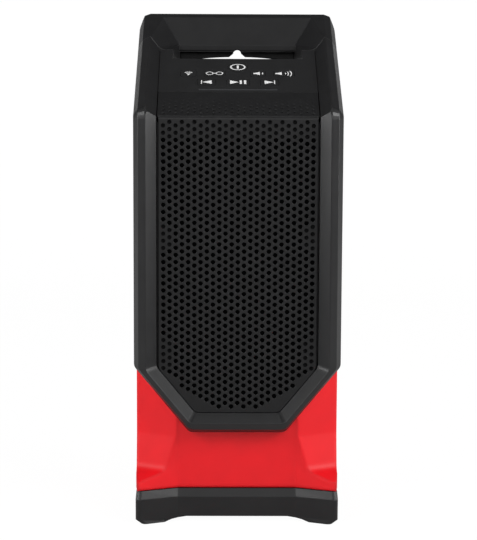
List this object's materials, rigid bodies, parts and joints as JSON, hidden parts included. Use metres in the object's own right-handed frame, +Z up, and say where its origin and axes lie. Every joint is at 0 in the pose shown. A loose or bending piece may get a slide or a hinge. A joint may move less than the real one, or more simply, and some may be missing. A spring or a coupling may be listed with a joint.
{
  "type": "jobsite bluetooth speaker",
  "caption": "Upright battery-powered jobsite speaker: angular black frame and perforated grille, sloped button panel, carry handle, red base with rubber bumper and a slide-out battery.",
  "frame": {"origin": "middle of the footprint, on the floor", "axes": "+X to the right as seen from the front, +Y to the back, +Z up"},
  "size_m": [0.146, 0.13, 0.3605],
  "materials": {
    "frame_plastic": "finely textured black moulding",
    "grille_plastic": "finely textured black moulding",
    "housing_plastic": "finely textured black moulding",
    "panel_plastic": "smooth matte black moulding",
    "button_plastic": "smooth matte black moulding with white symbols",
    "red_plastic": "semi-gloss red moulding",
    "bumper_rubber": "matte black moulded rubber",
    "black_rubber": "matte black rubber",
    "acoustic_cloth": "black woven cloth",
    "light_lens": "clear light guide",
    "inner_plastic": "plain black moulding",
    "screw_steel": "zinc plated steel",
    "stamped_steel": "dark coated steel",
    "bare_aluminium": "bare extruded aluminium",
    "copper_alloy": "copper alloy",
    "circuit_board": "green solder mask on glass fibre board",
    "sleeve_plastic": "dark blue shrink sleeve",
    "spider_cloth": "resin stiffened cloth",
    "cone_paper": "coated black paper",
    "battery_plastic": "textured black moulding",
    "cell_sleeve": "steel cell in a green sleeve"
  },
  "bodies": {
    "body": {"front_frame": "frame_plastic", "front_grille": "grille_plastic", "grille_cloth": "acoustic_cloth", "frame_gasket": "black_rubber", "driver_baffle": "inner_plastic", "rear_housing": "housing_plastic", "carry_handle": "housing_plastic", "handle_screws": "screw_steel", "housing_screws": "screw_steel", "control_panel": "panel_plastic", "status_light": "light_lens", "keypad_board": "circuit_board", "keypad_switches": "inner_plastic", "keypad_screws": "screw_steel", "woofer_basket": "stamped_steel", "woofer_magnet": "stamped_steel", "woofer_surround": "black_rubber", "woofer_spider": "spider_cloth", "woofer_screws": "screw_steel", "tweeter_body": "inner_plastic", "tweeter_dome": "spider_cloth", "tweeter_screws": "screw_steel", "main_board": "circuit_board", "board_screws": "screw_steel", "heat_sink": "bare_aluminium", "capacitors": "sleeve_plastic", "inductors": "inner_plastic", "wireless_module": "stamped_steel", "usb_socket": "stamped_steel", "base_shell": "red_plastic", "base_bumper": "bumper_rubber", "foot_pads": "black_rubber", "base_screws": "screw_steel", "battery_bay": "inner_plastic", "terminal_block": "inner_plastic", "terminal_blades": "copper_alloy"},
    "power_button": {"power_button": "button_plastic"},
    "wireless_button": {"wireless_button": "button_plastic"},
    "link_button": {"link_button": "button_plastic"},
    "volume_down_button": {"volume_down_button": "button_plastic"},
    "volume_up_button": {"volume_up_button": "button_plastic"},
    "previous_button": {"previous_button": "button_plastic"},
    "play_button": {"play_button": "button_plastic"},
    "next_button": {"next_button": "button_plastic"},
    "cone": {"woofer_cone": "cone_paper", "woofer_dust_cap": "cone_paper", "voice_coil": "copper_alloy"},
    "battery": {"battery_case": "battery_plastic", "battery_lid": "battery_plastic", "battery_cells": "cell_sleeve"},
    "latch_left": {"battery_latch_left": "red_plastic"},
    "latch_right": {"battery_latch_right": "red_plastic"},
    "port_cover": {"port_cover": "black_rubber"}
  },
  "joints": [
    {"name": "power_press", "type": "slide", "parent": "body", "child": "power_button", "axis": [0, 0.4772, -0.8788], "range_m": [0, 0.0006], "stiffness_N_per_m": 900},
    {"name": "wireless_press", "type": "slide", "parent": "body", "child": "wireless_button", "axis": [0, 0.4772, -0.8788], "range_m": [0, 0.0006], "stiffness_N_per_m": 900},
    {"name": "link_press", "type": "slide", "parent": "body", "child": "link_button", "axis": [0, 0.4772, -0.8788], "range_m": [0, 0.0006], "stiffness_N_per_m": 900},
    {"name": "volume_down_press", "type": "slide", "parent": "body", "child": "volume_down_button", "axis": [0, 0.4772, -0.8788], "range_m": [0, 0.0006], "stiffness_N_per_m": 900},
    {"name": "volume_up_press", "type": "slide", "parent": "body", "child": "volume_up_button", "axis": [0, 0.4772, -0.8788], "range_m": [0, 0.0006], "stiffness_N_per_m": 900},
    {"name": "previous_press", "type": "slide", "parent": "body", "child": "previous_button", "axis": [0, 0.4772, -0.8788], "range_m": [0, 0.0006], "stiffness_N_per_m": 900},
    {"name": "play_press", "type": "slide", "parent": "body", "child": "play_button", "axis": [0, 0.4772, -0.8788], "range_m": [0, 0.0006], "stiffness_N_per_m": 900},
    {"name": "next_press", "type": "slide", "parent": "body", "child": "next_button", "axis": [0, 0.4772, -0.8788], "range_m": [0, 0.0006], "stiffness_N_per_m": 900},
    {"name": "cone_travel", "type": "slide", "parent": "body", "child": "cone", "axis": [0, -1, 0], "range_m": [-0.0015, 0.0015], "stiffness_N_per_m": 1500},
    {"name": "battery_slide", "type": "slide", "parent": "body", "child": "battery", "axis": [0, 1, 0], "range_m": [0, 0.11]},
    {"name": "latch_left_press", "type": "slide", "parent": "battery", "child": "latch_left", "axis": [1, 0, 0], "range_m": [0, 0.0025], "stiffness_N_per_m": 900},
    {"name": "latch_right_press", "type": "slide", "parent": "battery", "child": "latch_right", "axis": [-1, 0, 0], "range_m": [0, 0.0025], "stiffness_N_per_m": 900},
    {"name": "port_cover_hinge", "type": "hinge", "parent": "body", "child": "port_cover", "pos_m": [-0.052, 0.06115, 0.129], "axis": [0, 0, 1], "range_deg": [0, 95]}
  ]
}
